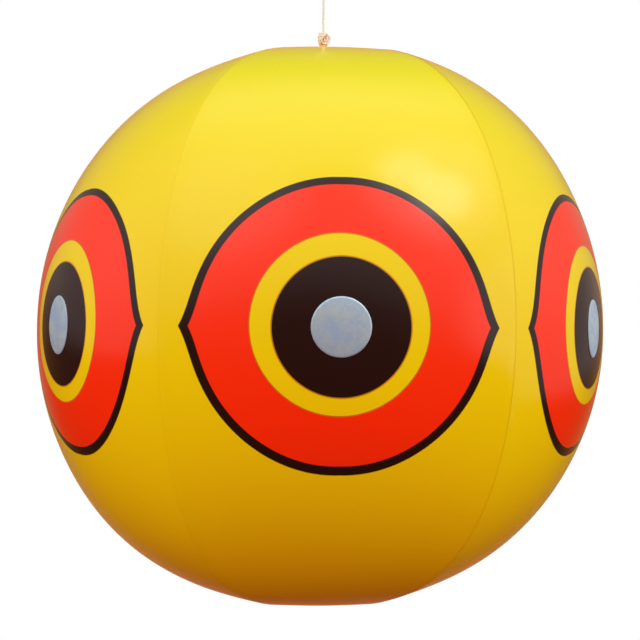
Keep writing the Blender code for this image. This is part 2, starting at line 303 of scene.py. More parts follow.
@dataclass(frozen=True)
class EyePrint:
    """The eye's drawing on one gore, in metres from the middle of the gore."""

    outline: float = 0.0843
    outline_widening: float = 0.0025
    corner_reach: float = 0.0063
    corner_angle: float = 6.5
    line: float = 0.0050
    line_top_loss: float = 0.00055
    line_corner_gain: float = 0.0009
    ring: float = 0.0510
    pupil: float = 0.0392
    edge: float = 0.0003
    trap: float = 0.0006
    outline_shift: Pair = (0.0005, 0.0)
    ring_shift: Pair = (-0.0004, 0.0011)
    pupil_shift: Pair = (0.0004, -0.0002)

    def inside(self, distance: Number) -> Number:
        """1 inside a printed edge and 0 outside it, from the distance inwards."""
        return distance.rise(-self.edge, self.edge)

    @staticmethod
    def polar(across: Number, up: Number, shift: Pair) -> list[Number]:
        """Where a point lies around a printed shape.

        Args:
            across: the point's place round the ball.
            up: the point's level.
            shift: the shape's own middle.

        Returns:
            The distance from the middle, and the shares of it that lie across and up.
        """
        x, y = across - shift[0], up - shift[1]
        reach = (x * x + y * y).function("SQRT")
        safe = reach.function("MAXIMUM", TINY)
        return [reach, abs(x) / safe, y / safe]

    def masks(self, across: Number, up: Number) -> dict[str, Number]:
        """Where each colour is printed.

        Args:
            across: place round the ball from the middle of the gore.
            up: level.

        Returns:
            A mask for each printed shape, each one over those before it.
        """
        reach, sideways, rise = self.polar(across, up, self.outline_shift)
        angle = abs(rise).function("ARCSINE") * math.degrees(1)
        corner = (angle / -self.corner_angle).function("EXPONENT")
        outer = sideways * self.outline_widening + corner * self.corner_reach + self.outline
        line = self.line - rise * self.line_top_loss + corner * self.line_corner_gain
        ring = self.polar(across, up, self.ring_shift)[0]
        pupil = self.polar(across, up, self.pupil_shift)[0]
        half_trap = self.trap / 2
        ring_trap = self.inside(half_trap - abs(ring - self.ring))
        pupil_trap = self.inside(half_trap - abs(pupil - self.pupil - half_trap))
        return {
            "outline": self.inside(outer - reach),
            "red": self.inside(outer - line - reach),
            "ring": self.inside(self.ring - ring),
            "trap": ring_trap.function("MAXIMUM", pupil_trap),
            "pupil": self.inside(self.pupil - pupil),
        }


@dataclass(frozen=True)
class PrintedFilm(Finish):
    """Glossy soft vinyl film that lets light through where it has no ink."""

    ink: Ink = Ink.EYE
    eye: EyePrint = EyePrint()
    yellow: Colour = (0.88, 0.80, 0.003)
    red: Colour = (0.88, 0.030, 0.003)
    black: Colour = (0.021, 0.007, 0.005)
    trap: Colour = (0.56, 0.17, 0.006)
    glow: Colour = (0.95, 0.30, 0.0)
    clearness: float = 0.20
    gloss: float = 0.12
    ink_gloss: float = 0.15
    ink_film: float = 0.000012
    density: float = 1.58
    rim: float = 0.55
    rim_reach: float = 0.23
    rim_colour: Colour = (1.0, 0.52, 0.12)
    waves: tuple[Clouds, ...] = (
        Clouds(9.0, 1.0, 3.0, 0.0005),
        Clouds(34.0, 2.0, 5.0, 0.00006),
        Clouds(420.0, 2.0, 7.0, 0.000004),
    )
    lap: float = 0.0050
    rib: float = 0.0011
    rib_height: float = 0.00002
    rib_start: Pair = (0.0003, 0.0008)
    rib_fade: float = 0.0006
    # Colour of a thin line at the gore's cut edge, darker than the film: painted shade of the seam.
    cut: Colour = (0.82, 0.68, 0.003)
    seam_shade_width: float = 0.0003

    def ribs(self, edge: Number, along: Number) -> Number:
        """Height of the welding tool's fine ribs, by the distance from the cut edge and place along it."""
        band = edge.rise(*self.rib_start) * (1 - edge.rise(self.lap - self.rib_fade, self.lap))
        return band * (along * (math.tau / self.rib)).function("SINE") * self.rib_height

    def printed(self, graph: FinishGraph, edge: Number) -> tuple[Socket, Number]:
        """The eye on the film, and a darker line painted along the gore's cut edge as the seam's shade.

        Args:
            graph: the tree to build in.
            edge: distance from the gore's own cut edge.

        Returns:
            The colour's socket, and how much ink lies on the film.
        """
        across, up, _ = graph.map(PRINT_MAP)
        mask = self.eye.masks(across, up)
        # A thin darker line along the gore's cut edge is painted shade of the seam.
        colour = graph.mix(1 - edge.rise(self.seam_shade_width / 2, self.seam_shade_width), self.yellow, self.cut)
        inks = (self.black, self.red, self.yellow, self.trap, self.black)
        for shape, ink in zip(mask.values(), inks):
            colour = graph.mix(shape, colour, ink)
        return colour, mask["outline"] * (1 - mask["ring"]) + mask["ring"] * mask["pupil"]

    def shader(self, graph: FinishGraph) -> Node:
        """Shiny film over the light that comes through it.

        Args:
            graph: the tree to build in.

        Returns:
            The shader's node.
        """
        colour: object = self.yellow
        gloss: Operand = self.gloss
        through: Operand = self.clearness
        height = sum(graph.clouds(wave) * wave.height for wave in self.waves)
        if self.ink is Ink.EYE:
            weld = graph.node("ShaderNodeAttribute", attribute_name=WELD_MAP).outputs["Vector"]
            edge, along, _ = graph.parts(weld)
            colour, cover = self.printed(graph, edge)
            gloss = cover * (self.ink_gloss - self.gloss) + self.gloss
            through = (1 - cover) * self.clearness
            height = height + cover * self.ink_film + self.ribs(edge, along)
        shell = graph.shell(
            Base_Color=colour,
            Roughness=gloss,
            IOR=self.density,
            Sheen_Weight=self.rim,
            Sheen_Roughness=self.rim_reach,
            Sheen_Tint=self.rim_colour,
            Normal=graph.relief(height),
        )
        return graph.mixed(through, shell, graph.node("ShaderNodeBsdfTranslucent", {"Color": self.glow}))


@dataclass(frozen=True)
class CloudyFoil(Finish):
    """Reflective film of the pupils, which mirrors the sky in soft patches."""

    pale: Colour = (0.71, 0.92, 1.0)
    deep: Colour = (0.53, 0.75, 0.98)
    coarse: Clouds = Clouds(95.0, 4.0, 11.0, 0.0002)
    fine: Clouds = Clouds(437.0, 3.0, 12.0, 0.00002)
    coarse_share: float = 0.7
    levels: Pair = (0.36, 0.64)
    metal: float = 0.68
    gloss: float = 0.50
    gloss_change: float = 0.10

    def shader(self, graph: FinishGraph) -> Node:
        """Dull metal in two shades.

        Args:
            graph: the tree to build in.

        Returns:
            The shader's node.
        """
        coarse, fine = graph.clouds(self.coarse), graph.clouds(self.fine)
        share = (coarse * self.coarse_share + fine * (1 - self.coarse_share)).rise(*self.levels)
        return graph.shell(
            Base_Color=graph.mix(share, self.deep, self.pale),
            Roughness=self.gloss - share * self.gloss_change,
            Metallic=self.metal,
            Normal=graph.relief(coarse * self.coarse.height + fine * self.fine.height),
        )


@dataclass(frozen=True)
class MouldedVinyl(Finish):
    """Soft moulded vinyl of the tab and the valve, satin, with a faint cloudiness."""

    colour: Colour
    shade: Colour
    cloud: Clouds = Clouds(160.0, 3.0, 21.0, 0.00003)
    grain: Clouds = Clouds(2400.0, 2.0, 22.0, 0.000012)
    levels: Pair = (0.3, 0.7)
    gloss: float = 0.34
    gloss_change: float = 0.1
    depth: float = 0.25
    depth_radii: Triple = (0.004, 0.002, 0.001)
    depth_scale: float = 0.5

    def shader(self, graph: FinishGraph) -> Node:
        """Satin vinyl that light sinks into.

        Args:
            graph: the tree to build in.

        Returns:
            The shader's node.
        """
        cloud, grain = graph.clouds(self.cloud), graph.clouds(self.grain)
        return graph.shell(
            Base_Color=graph.mix(cloud.rise(*self.levels), self.colour, self.shade),
            Roughness=self.gloss + (grain - 0.5) * self.gloss_change,
            Subsurface_Weight=self.depth,
            Subsurface_Radius=self.depth_radii,
            Subsurface_Scale=self.depth_scale,
            Normal=graph.relief(grain * self.grain.height + cloud * self.cloud.height),
        )


@dataclass(frozen=True)
class CordFibre(Finish):
    """Twisted cord, with its fibres lying along each strand."""

    colour: Colour
    # Colour of the hollows between the fibres: painted shade, darker than the fibres.
    hollow: Colour
    fibres: float = 9.0
    lean: float = 0.0035
    wander: Clouds = Clouds(700.0, 2.0, 31.0, 1.6)
    fuzz: Clouds = Clouds(2600.0, 2.0, 32.0, 0.00002)
    fibre_height: float = 0.00005
    fibre_share: float = 0.7
    gloss: float = 0.82
    bloom: float = 0.3
    bloom_reach: float = 0.5

    def shader(self, graph: FinishGraph) -> Node:
        """Matt fibres, with shade painted darker into the hollows between them.

        Args:
            graph: the tree to build in.

        Returns:
            The shader's node.
        """
        along, around, _ = graph.map(FIBRE_MAP)
        wander = (graph.clouds(self.wander) - 0.5) * self.wander.height
        phase = around * self.fibres + along / self.lean + wander
        thread = (phase * math.tau).function("SINE") * 0.5 + 0.5
        fuzz = graph.clouds(self.fuzz)
        share = thread * self.fibre_share + fuzz * (1 - self.fibre_share)
        return graph.shell(
            # The hollows between the fibres take the darker colour: painted shade in the grooves.
            Base_Color=graph.mix(share, self.hollow, self.colour),
            Roughness=self.gloss,
            Sheen_Weight=self.bloom,
            Sheen_Roughness=self.bloom_reach,
            Normal=graph.relief(thread * self.fibre_height + fuzz * self.fuzz.height),
        )


# Trees that make shapes


class ShapeTree:
    """A Geometry Nodes tree with named inputs, and what turns it into a plain mesh."""

    def __init__(self, name: str, finish: Material) -> None:
        """Makes an empty tree.

        Args:
            name: the tree's name.
            finish: what its shape wears.
        """
        self.group = bpy.data.node_groups.new(name, "GeometryNodeTree")
        self.graph = Graph(self.group)
        self.values: dict[str, object] = {}
        for way in ("INPUT", "OUTPUT"):
            self.group.interface.new_socket(name="Geometry", in_out=way, socket_type="NodeSocketGeometry")
        self.entry = self.graph.node("NodeGroupInput")
        self.finish = self.add_input("finish", "Material", finish)

    def add_input(self, name: str, kind: str, value: object) -> Socket:
        """Adds an input.

        Args:
            name: of the input, with _ for a space.
            kind: of its socket.
            value: what it takes unless a bake says otherwise.

        Returns:
            Its socket in the tree.
        """
        title = self.title(name)
        self.group.interface.new_socket(name=title, in_out="INPUT", socket_type=f"NodeSocket{kind}")
        self.values[title] = value
        return self.entry.outputs[title]

    @staticmethod
    def title(name: str) -> str:
        """An input's name as the tree shows it."""
        return name.replace("_", " ").title()

    def sizes(self, record: object) -> SimpleNamespace:
        """Adds an input for every field of a record.

        Args:
            record: a dataclass that holds numbers.

        Returns:
            The inputs as numbers, under the fields' names.
        """
        made = SimpleNamespace()
        for item in fields(record):
            value = getattr(record, item.name)
            kind = "Int" if isinstance(value, int) else "Float"
            setattr(made, item.name, Number(self.graph, self.add_input(item.name, kind, value)))
        return made

    def grid(self, columns: Operand, rows: Operand) -> tuple[Node, Number, Number]:
        """A flat grid to bend into shape.

        Args:
            columns: points along its first side.
            rows: points along its other side.

        Returns:
            The grid, and each point's place on both sides: from 0 to 1, and from -0.5 to 0.5.
        """
        inputs = {0: 1.0, 1: 1.0, "Vertices X": columns, "Vertices Y": rows}
        x, y, _ = self.graph.parts(self.graph.node("GeometryNodeInputPosition"))
        return self.graph.node("GeometryNodeMeshGrid", inputs), x + 0.5, y

    def store(self, geometry: object, name: str, kind: str, domain: str, value: object) -> Node:
        """Stores a map of a kind on the geometry's points or corners, and hands the geometry on."""
        inputs = {"Geometry": geometry, "Name": name, "Value": value}
        return self.graph.node("GeometryNodeStoreNamedAttribute", inputs, data_type=kind, domain=domain)

    def end(self, geometry: object, weld: float | None = None) -> None:
        """Ends the tree: smooth real geometry that wears its finish.

        Args:
            geometry: the shape.
            weld: the distance under which points are merged, or None.
        """
        if weld:
            close = {"Geometry": geometry, "Distance": weld}
            geometry = self.graph.node("GeometryNodeMergeByDistance", close)
        smooth = self.graph.node("GeometryNodeSetShadeSmooth", {"Geometry": geometry})
        real = self.graph.node("GeometryNodeRealizeInstances", {0: smooth})
        worn = self.graph.node("GeometryNodeSetMaterial", {"Geometry": real, "Material": self.finish})
        self.graph.node("NodeGroupOutput", {0: worn})

    def end_sheet(self, grid: object, place: object) -> None:
        """Moves a grid's points into place, closes its edges and ends the tree."""
        moved = self.graph.node("GeometryNodeSetPosition", {"Geometry": grid, "Position": place})
        self.end(moved, weld=SHEET_WELD)

    def bake(self, name: str, start: bpy.types.ID | None = None, **changes: object) -> Piece:
        """Runs the tree and keeps what it makes.

        Args:
            name: the piece's name.
            start: the curve or mesh that it works on, or None.
            changes: inputs that differ from the ones it was made with.

        Returns:
            A plain mesh object at the origin.
        """
        source = put(bpy.data.objects.new("source", start or bpy.data.meshes.new("source")))
        modifier = source.modifiers.new("shape", "NODES")
        modifier.node_group = self.group
        values = self.values | {self.title(key): value for key, value in changes.items()}
        for item in self.group.interface.items_tree:
            if item.in_out == "INPUT" and item.name in values:
                modifier[item.identifier] = values[item.name]
        mesh = evaluated_mesh(source)
        mesh.name = name
        bpy.data.objects.remove(source)
        return put(bpy.data.objects.new(name, mesh))


@dataclass(frozen=True)
class SkinShape:
    """The inflated film: squarer than an ellipse from the side, and six-sided towards the poles."""

    centre: float
    ball_radius: float = 0.2000
    pole_level: float = 0.1985
    power: float = 2.144
    seam_equator: float = 1.028
    seam_pole: float = 1.092
    seam_power: float = 2.4
    gores: int = 6
    tip_radius: float = 0.0200
    waviness: float = 0.0009
    quarter_swell: float = 0.0016
    third_swell: float = -0.0009
    fourth_swell: float = -0.0006
    sixth_swell: float = 0.0009
    calm_radius: float = 0.0420
    swell_radius: float = 0.1000


class SkinTree(ShapeTree):
    """A tree that lays points on the ball's skin."""

    wave_scale: float = 7.0
    wave_detail: float = 1.0
    wave_seed: float = 0.0

    def __init__(self, name: str, finish: Material, shape: SkinShape) -> None:
        """Adds the skin's sizes as inputs.

        Args:
            name: the tree's name.
            finish: what its shape wears.
            shape: the skin.
        """
        super().__init__(name, finish)
        self.skin = self.sizes(shape)
        self.half = math.pi / self.skin.gores

    def angle_at_radius(self, radius: Number) -> Number:
        """Profile angle at a radius from the axis."""
        return ((radius / self.skin.ball_radius) ** (self.skin.power / 2)).function("ARCCOSINE")

    def angle_at_level(self, level: Number) -> Number:
        """Profile angle at a level."""
        share = (abs(level) / self.skin.pole_level) ** (self.skin.power / 2)
        return share.function("ARCSINE") * level.function("SIGN")

    def meridian(self, angle: Number) -> tuple[Number, Number]:
        """Where a gore's middle is.

        Args:
            angle: of the profile.

        Returns:
            Its radius and its level.
        """
        share = 2 / self.skin.power
        radius = angle.function("COSINE").function("MAXIMUM", 0.0) ** share * self.skin.ball_radius
        height = abs(angle.function("SINE")) ** share * self.skin.pole_level
        return radius, height * angle.function("SIGN")

    def place(self, radius: Number, level: Number, off: Number, turn: Number, lift: Operand) -> list[Number]:
        """A point of the even skin.

        Args:
            radius: of the gore's middle at this level.
            level: above the middle of the ball.
            off: turn from the middle of the point's own gore.
            turn: round the ball from the front eye.
            lift: height over the film's outer face.

        Returns:
            Its three numbers in the frame.
        """
        skin = self.skin
        out = (radius / skin.ball_radius) ** (skin.power - 1) / skin.ball_radius
        up = (abs(level) / skin.pole_level) ** (skin.power - 1) / skin.pole_level
        steep = (out * out + up * up).function("SQRT")
        side = self.half.function("COSINE")
        spread = off.function("PINGPONG", self.half).function("COSINE")
        section = (side / spread - side) / (1 - side)
        swell = (abs(level) / skin.pole_level) ** skin.seam_power
        ridge = skin.seam_equator + (skin.seam_pole - skin.seam_equator) * swell
        far = radius * (1 + (ridge - 1) * section) + lift * out / steep
        height = level + lift * up * level.function("SIGN") / steep
        return [far * turn.function("SINE"), -(far * turn.function("COSINE")), height + skin.centre]

    def uneven(self, radius: Number, level: Number, off: Number, turn: Number) -> Number:
        """How far the real film stands off the even skin: soft waves, and swells that leave it less round.

        Args:
            radius: of the gore's middle at this level.
            level: above the middle of the ball.
            off: turn from the middle of the point's own gore.
            turn: round the ball from the front eye.

        Returns:
            The height, which fades out towards the patches.
        """
        skin = self.skin
        x, y, z = self.place(radius, level, off, turn, 0.0)
        place = self.graph.vector(x, y, z)
        noise = self.graph.noise(place, self.wave_scale, self.wave_detail, self.wave_seed)
        z = z - skin.centre
        around = z.function("ARCTAN2", x)
        reach = (x * x + z * z).function("SQRT") / skin.ball_radius
        swells = (
            (around * 2, skin.quarter_swell),
            (around * 3, skin.third_swell),
            (around * 4, skin.fourth_swell),
            (around * 6 + math.pi / 2, skin.sixth_swell),
        )
        swell = sum(turns.function("SINE") * size for turns, size in swells)
        height = (noise - 0.5) * skin.waviness + swell * reach**3
        return height * radius.rise(skin.calm_radius, skin.swell_radius)


# Shapes in mesh code


def put(obj: Piece) -> Piece:
    """Puts an object in the scene and hands it on."""
    bpy.context.scene.collection.objects.link(obj)
    return obj


def evaluated_mesh(obj: Piece) -> bpy.types.Mesh:
    """What an object's modifiers make, as a plain mesh."""
    graph = bpy.context.evaluated_depsgraph_get()
    return bpy.data.meshes.new_from_object(obj.evaluated_get(graph), depsgraph=graph)


def add_object(name: str, mesh: bpy.types.Mesh, finish: Material) -> Piece:
    """A mesh as an object in the scene, in one finish."""
    mesh.materials.append(finish)
    return put(bpy.data.objects.new(name, mesh))


def dress(made: Piece, node: str, body: str | None) -> Piece:
    """Lets a piece stand for a node.

    Args:
        made: the piece.
        node: the node that it stands for.
        body: the body that it rides on, or None where it lies between two and rides on neither.

    Returns:
        The piece.
    """
    if body:
        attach(made, body)
    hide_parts(node)
    return made


def mesh_of(bm: BMesh, name: str, sharp: float = 40.0) -> bpy.types.Mesh:
    """A mesh that faces outwards.

    Args:
        bm: its geometry, which is freed.
        name: of the mesh.
        sharp: the angle in degrees up to which it is smooth.

    Returns:
        The mesh.
    """
    bmesh.ops.recalc_face_normals(bm, faces=bm.faces)
    mesh = bpy.data.meshes.new(name)
    bm.to_mesh(mesh)
    bm.free()
    mesh.shade_smooth()
    mesh.set_sharp_from_angle(angle=math.radians(sharp))
    return mesh


def bridge(bm: BMesh, ring: Sequence, other: Sequence) -> None:
    """Adds the faces between two closed rings.

    Args:
        bm: what they are added to.
        ring: vertices in order, or one vertex.
        other: the same for the other ring.
    """
    count = max(len(ring), len(other))
    for i in range(count):
        j = (i + 1) % count
        corners = (ring[i % len(ring)], ring[j % len(ring)], other[j % len(other)], other[i % len(other)])
        if len(set(corners)) > 2:
            bm.faces.new(dict.fromkeys(corners))


def loft(rings: Sequence[Sequence[Vector]], closed: bool = False) -> BMesh:
    """A skin through rings of points.

    Args:
        rings: rings with one point or as many as the others.
        closed: whether the last ring joins the first again.

    Returns:
        The skin.
    """
    bm = bmesh.new()
    made = [[bm.verts.new(point) for point in ring] for ring in rings]
    for ring, other in zip(made, made[1:] + made[:1] if closed else made[1:]):
        bridge(bm, ring, other)
    return bm


def rectangle(low: Pair, high: Pair) -> Profile:
    """The four corners between a lowest and a highest one."""
    return [low, (high[0], low[1]), high, (low[0], high[1])]


def arc(level: float, radius: float, step: float, count: int) -> Profile:
    """Points on a circle whose middle is on the axis, with the turn from one to the next."""
    turns = [step * i for i in range(count)]
    return [(radius * math.cos(turn), level + radius * math.sin(turn)) for turn in turns]


def rounded(corners: Profile, radius: float, steps: int = 4) -> Profile:
    """An outline with its corners rounded, apart from those on the axis.

    Args:
        corners: of the outline, as radius and level.
        radius: of the rounding, less where a side is short.
        steps: points to each corner.

    Returns:
        The rounded outline.
    """
    outline: Profile = []
    count = len(corners)
    for i, corner in enumerate(corners):
        before, here, after = (Vector(corners[(i + k) % count]) for k in (-1, 0, 1))
        if corner[0] < ON_AXIS:
            outline.append(corner)
            continue
        back, on = before - here, after - here
        reach = min(radius, back.length * SIDE_SHARE, on.length * SIDE_SHARE)
        start, end = here + back.normalized() * reach, here + on.normalized() * reach
        for step in range(steps + 1):
            t = step / steps
            point = start * (1 - t) ** 2 + here * (2 * t * (1 - t)) + end * t**2
            outline.append((point.x, point.y))
    return outline


def turned(outline: Profile, segments: int = 72) -> BMesh:
    """A solid turned about Z.

    Args:
        outline: closed, as radius and height.
        segments: points in each ring.

    Returns:
        The solid.
    """
    rings = []
    for radius, level in outline:
        turns = [math.tau * i / segments for i in range(segments if radius > ON_AXIS else 1)]
        rings.append([Vector((radius * math.cos(t), radius * math.sin(t), level)) for t in turns])
    bm = loft(rings, closed=True)
    bmesh.ops.remove_doubles(bm, verts=bm.verts, dist=SAME_POINT)
    return bm


def smooth_route(route: Sequence[Sequence[float]], step: float, fineness: int = 24) -> list[Vector]:
    """Even points along a smooth curve through a cord's route.

    Args:
        route: the points that the curve runs through.
        step: distance from one point to the next.
        fineness: places worked out between two points of the route.

    Returns:
        The points.
    """
    points = [Vector(point) for point in route]
    padded = [points[0], *points, points[-1]]
    fine = []
    for a, b, c, d in zip(padded, padded[1:], padded[2:], padded[3:]):
        for t in (i / fineness for i in range(fineness)):
            bend = 2 * a - 5 * b + 4 * c - d
            fine.append((2 * b + (c - a) * t + bend * t**2 + (3 * b - a - 3 * c + d) * t**3) / 2)
    fine.append(points[-1])
    along = [0.0]
    for start, end in zip(fine, fine[1:]):
        along.append(along[-1] + (end - start).length)
    count = max(2, round(along[-1] / step))
    even, j = [], 1
    for i in range(count + 1):
        target = along[-1] * i / count
        while j < len(along) - 1 and along[j] < target:
            j += 1
        share = (target - along[j - 1]) / (along[j] - along[j - 1])
        even.append(fine[j - 1].lerp(fine[j], share))
    return even


def curve_through(points: Iterable[Vector], cyclic: bool = False) -> bpy.types.Curve:
    """A curve with corners at the points.

    Args:
        points: in order.
        cyclic: whether the last one joins the first.

    Returns:
        The curve.
    """
    points = list(points)
    curve = bpy.data.curves.new("route", "CURVE")
    curve.dimensions = "3D"
    spline = curve.splines.new("POLY")
    spline.points.add(len(points) - 1)
    for made, point in zip(spline.points, points):
        made.co = (*point, 1.0)
    spline.use_cyclic_u = cyclic
    return curve


def join(made: Piece, others: Sequence[Piece]) -> Piece:
    """Joins pieces of one finish.

    Args:
        made: the piece that the others are joined into.
        others: the pieces that go.

    Returns:
        The whole piece.
    """
    bm = bmesh.new()
    for obj in (made, *others):
        bm.from_mesh(obj.data)
    bm.to_mesh(made.data)
    bm.free()
    for obj in others:
        bpy.data.objects.remove(obj)
    return made


# Cord


@dataclass(frozen=True)
class StrandSizes:
    """The cord tree's inputs. More cords lie side by side along one route, each of twisted strands."""

    cord_radius: float = 0.0010
    twist: float = 0.0075
    strands: int = 3
    strand_swell: float = 1.12
    cords: int = 1
    step: float = 0.0005
    rim_points: int = 11


@dataclass
class HangingLine:
    """The cord that the ball hangs on: upper loop and knot, straight length, and lower knot on the tab."""

    strand: StrandSizes = StrandSizes()
    length: float = 0.0350
    loop_length: float = 0.0791
    loop_step: float = 0.002
    sink: float = 0.0012
    straight_steps: int = 24
    knot_gap: float = 0.0003
    knot_girth: float = 0.0025
    knot_swing: float = 0.0014
    knot_height: float = 0.0033
    knot_drop: float = 0.0045
    knot_points: int = 160
    bight_leg: float = 0.0023
    bight_bend: float = 0.0013
    bight_step: float = 0.0006
    loop_route: tuple[Triple, ...] = (
        (-0.0013, 0.0, 0.0),
        (-0.0015, 0.0, 0.0040),
        (-0.0046, 0.0, 0.0120),
        (-0.0080, 0.0, 0.0205),
        (-0.0078, 0.0, 0.0280),
        (-0.0042, 0.0, 0.0326),
        (0.0, 0.0, 0.0340),
        (0.0042, 0.0, 0.0326),
        (0.0078, 0.0, 0.0280),
        (0.0080, 0.0, 0.0205),
        (0.0046, 0.0, 0.0120),
        (0.0015, 0.0, 0.0040),
        (0.0013, 0.0, 0.0),
    )

    def __post_init__(self) -> None:
        """Makes the finishes, and the tree that lays twisted strands along a route."""
        self.white = CordFibre((0.76, 0.84, 0.83), (0.55, 0.61, 0.60)).make("white_cord")
        # The same white cord with the ball's warm bounce light painted in as a beige tint, for the knot on
        # the tab.
        self.beige = CordFibre((0.88, 0.80, 0.72), (0.68, 0.56, 0.47)).make("cord_with_painted_ball_light")
        self.tree = self.strand_tree()

    def strand_tree(self) -> ShapeTree:
        """The tree: cords side by side along a route, each of twisted strands."""
        tree = ShapeTree("twisted_cord", self.white)
        graph, size = tree.graph, tree.sizes(self.strand)
        route = {"Curve": tree.entry.outputs[0], "Length": size.step}
        even = graph.node("GeometryNodeResampleCurve", route, mode="LENGTH")
        amount = {"Geometry": even, "Amount": size.strands * size.cords}
        copies = graph.node("GeometryNodeDuplicateElements", amount, domain="SPLINE")
        index = Number(graph, copies.outputs["Duplicate Index"])
        spline = graph.node("GeometryNodeSplineParameter").outputs
        along, factor = (Number(graph, spline[name]) for name in ("Length", "Factor"))
        share = 1 / (1 + 1 / (math.pi / size.strands).function("SINE"))
        strand_radius = size.cord_radius * share * size.strand_swell
        ring = size.cord_radius - strand_radius
        turn = (along / size.twist + index / size.strands) * math.tau
        cord = (index / size.strands).function("FLOOR") - (size.cords - 1) / 2
        sideways = turn.function("COSINE") * ring + cord * size.cord_radius * 2
        normal = graph.node("GeometryNodeInputNormal")
        cross = graph.vector_math("CROSS_PRODUCT", {0: graph.node("GeometryNodeInputTangent"), 1: normal})
        aside = graph.vector_math("SCALE", {0: normal, "Scale": sideways})
        onward = graph.vector_math("SCALE", {0: cross, "Scale": turn.function("SINE") * ring})
        offset = graph.vector_math("ADD", {0: aside, 1: onward})
        kept, kept_along = self.kept(tree, copies, "Along", along)
        moved = graph.node("GeometryNodeSetPosition", {"Geometry": kept, "Offset": offset})
        rim = {"Resolution": size.rim_points, "Radius": strand_radius, "Sweep Angle": math.tau}
        rim_kept, kept_around = self.kept(tree, graph.node("GeometryNodeCurveArc", rim), "Around", factor)
        sweep = {"Curve": moved, "Profile Curve": rim_kept, "Fill Caps": True}
        tube = graph.node("GeometryNodeCurveToMesh", sweep)
        fibres = graph.vector(kept_along, kept_around)
        tree.end(tree.store(tube, FIBRE_MAP, "FLOAT2", "CORNER", fibres), weld=STRAND_WELD)
        return tree

    @staticmethod
    def kept(tree: ShapeTree, curve: object, name: str, value: Number) -> tuple[Node, Number]:
        """Keeps a number of each point of a curve through what comes after.

        Args:
            tree: the tree to build in.
            curve: what the points belong to.
            name: the number's name.
            value: the number.

        Returns:
            The node that hands the curve on, and the number as it was kept.
        """
        made = tree.graph.node("GeometryNodeCaptureAttribute", {"Geometry": curve}, domain="POINT")
        made.capture_items.new("FLOAT", name)
        tree.graph.feed(made.inputs[name], value)
        return made, Number(tree.graph, made.outputs[name])

    def knot(self, node: str, body: str, middle: float, finish: Material, ends: Sequence) -> Piece:
        """An overhand knot in doubled cord, with the single cords that leave it.

        Args:
            node: the knot that it stands for.
            body: what it rides on.
            middle: height of the knot's middle.
            finish: what it wears.
            ends: routes of the single cords.

        Returns:
            The piece.
        """
        points = []
        for i in range(self.knot_points):
            t = math.tau * i / self.knot_points
            reach = self.knot_girth + self.knot_swing * math.cos(3 * t)
            rise = self.knot_height * math.sin(3 * t)
            points.append(Vector((reach * math.cos(2 * t), reach * math.sin(2 * t), middle + rise)))
        name = f"tied_{node}"
        made = self.tree.bake(name, curve_through(points, cyclic=True), cords=2, finish=finish)
        others = [self.tree.bake(f"{name}_end", curve_through(route), finish=finish) for route in ends]
        return dress(join(made, others), node, body)

    def laid(self, node: str, body: str, path: list[Vector]) -> Piece:
        """A free cord along a path, which stands for its node."""
        made = self.tree.bake(f"twisted_{node}", curve_through(path))
        return dress(made, node, body)

    def build(self) -> list[Piece]:
        """Makes the whole line."""
        low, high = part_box("hang_cord")
        lower_low, lower_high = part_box("tab_knot")
        upper_low, upper_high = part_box("top_knot")
        middle = lower_high.z - self.knot_drop
        bight = self.bight(lower_low.z, middle)
        # The knot on the tab wears the cord with the ball's warm bounce light painted in.
        lower = self.knot("tab_knot", "lower_knot", middle, self.beige, [bight])
        upper = self.knot("top_knot", "anchor", (upper_low.z + upper_high.z) / 2, self.white, [])
        heights = self.levels(low.z - self.sink, high.z + self.sink, self.straight_steps)
        straight = [Vector((0, 0, z)) for z in heights]
        cord = self.laid("hang_cord", "cord", straight)
        base = upper_high.z + self.knot_gap
        route = smooth_route([(x, y, z + base) for x, y, z in self.loop_route], self.loop_step)
        loop = self.laid("hang_loop", "anchor", route)
        return [lower, upper, cord, loop]

    @staticmethod
    def levels(low: float, high: float, count: int) -> list[float]:
        """Even heights from one to another."""
        return [low + (high - low) * i / count for i in range(count + 1)]

    def bight(self, low: float, middle: float, turns: int = 8, rises: int = 10) -> list[Vector]:
        """The cord's way out of the lower knot, through the tab's hole and back.

        Args:
            low: the lowest height that it reaches.
            middle: height of the knot's middle.
            turns: steps round each bend.
            rises: steps up each side.

        Returns:
            Points along it.
        """
        leg, bend = self.bight_leg, self.bight_bend
        bottom = low + self.strand.cord_radius
        half = [Vector((0.0, 0.0, bottom))]
        for turn in (math.pi / 2 * step / turns for step in range(1, turns + 1)):
            x = leg - bend + bend * math.sin(turn)
            half.append(Vector((x, 0.0, bottom + bend - bend * math.cos(turn))))
        top = half[-1].z + self.bight_step
        half += [Vector((leg, 0.0, z)) for z in self.levels(top, middle, rises)]
        return [Vector((-point.x, 0.0, point.z)) for point in half[:0:-1]] + half


# Ball


@dataclass(frozen=True)
class GoreSizes:
    """The gore tree's inputs."""

    middle_turn: float = 0.0
    lap_width: float = 0.0050
    joggle_width: float = 0.0050
    weld_depth: float = 0.0002
    edge_roll: float = 0.00005
    pucker: float = 0.00030
    pucker_reach: float = 0.009
    pole_pucker: float = 1.5
    seam_pucker: float = 0.15
    fold_seed: float = 4.0
    print_shift: float = 0.0
    print_drop: float = 0.0005
    upper_stretch: float = 0.0
    lower_stretch: float = 0.0
    columns: int = 101
    rows: int = 171


@dataclass(frozen=True)
class StickerSizes:
    """The pupil tree's inputs."""

    middle_turn: float = 0.0
    sticker_radius: float = 0.0170
    sticker_film: float = 0.0003
    sticker_crown: float = 0.00025
    glue: float = 0.0003
    sticker_shift: float = 0.0
    width_share: float = 1.0
    height_share: float = 1.0
    print_drop: float = 0.0005
    columns: int = 31
    rows: int = 73


